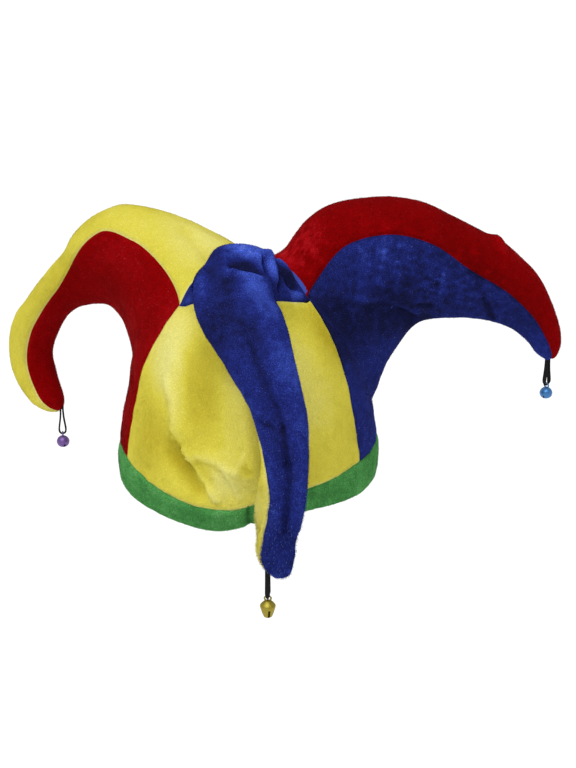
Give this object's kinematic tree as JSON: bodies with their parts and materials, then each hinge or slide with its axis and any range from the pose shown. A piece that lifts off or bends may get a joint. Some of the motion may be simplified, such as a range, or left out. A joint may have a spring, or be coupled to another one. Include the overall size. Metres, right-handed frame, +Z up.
{
  "type": "jester hat",
  "caption": "Plush jester party hat with drooping padded horns in contrasting panels and strips, a rim band, and a jingle bell hanging on a cord loop at each tip.",
  "frame": {"origin": "middle of the head opening, at the level of the rim band's lower edge at the sides and back", "axes": "+Z up through the crown, the front horn towards -Y, the wearer's left horn towards +X"},
  "size_m": [0.3995, 0.254, 0.2336],
  "materials": {
    "yellow_velour": "short soft pile",
    "blue_velour": "short crushed pile",
    "red_velour": "short soft pile",
    "green_velour": "short soft pile",
    "black_cord": "braided cover",
    "gold_metal": "polished",
    "purple_metal": "metallic lacquer",
    "sky_blue_metal": "metallic lacquer"
  },
  "bodies": {
    "hat": {"crown_front": "yellow_velour", "strip_front": "blue_velour", "crown_left": "red_velour", "strip_left": "yellow_velour", "crown_right": "blue_velour", "strip_right": "red_velour", "band": "green_velour", "cord_front": "black_cord", "cord_left": "black_cord", "cord_right": "black_cord"},
    "front_bell": {"bell_front": "gold_metal"},
    "left_bell": {"bell_left": "purple_metal"},
    "right_bell": {"bell_right": "sky_blue_metal"}
  },
  "joints": [
    {"name": "front_bell_swing", "type": "hinge", "parent": "hat", "child": "front_bell", "pos_m": [0.02764, -0.12593, -0.0369], "axis": [-0.0349, 0.9994, 0], "range_deg": [-60, 60]},
    {"name": "left_bell_swing", "type": "hinge", "parent": "hat", "child": "left_bell", "pos_m": [-0.14575, 0.05889, -0.00355], "axis": [0.9848, 0.1736, 0], "range_deg": [-60, 60]},
    {"name": "right_bell_swing", "type": "hinge", "parent": "hat", "child": "right_bell", "pos_m": [0.20722, 0.10107, 0.03275], "axis": [0.7071, 0.7071, 0], "range_deg": [-60, 60]}
  ]
}
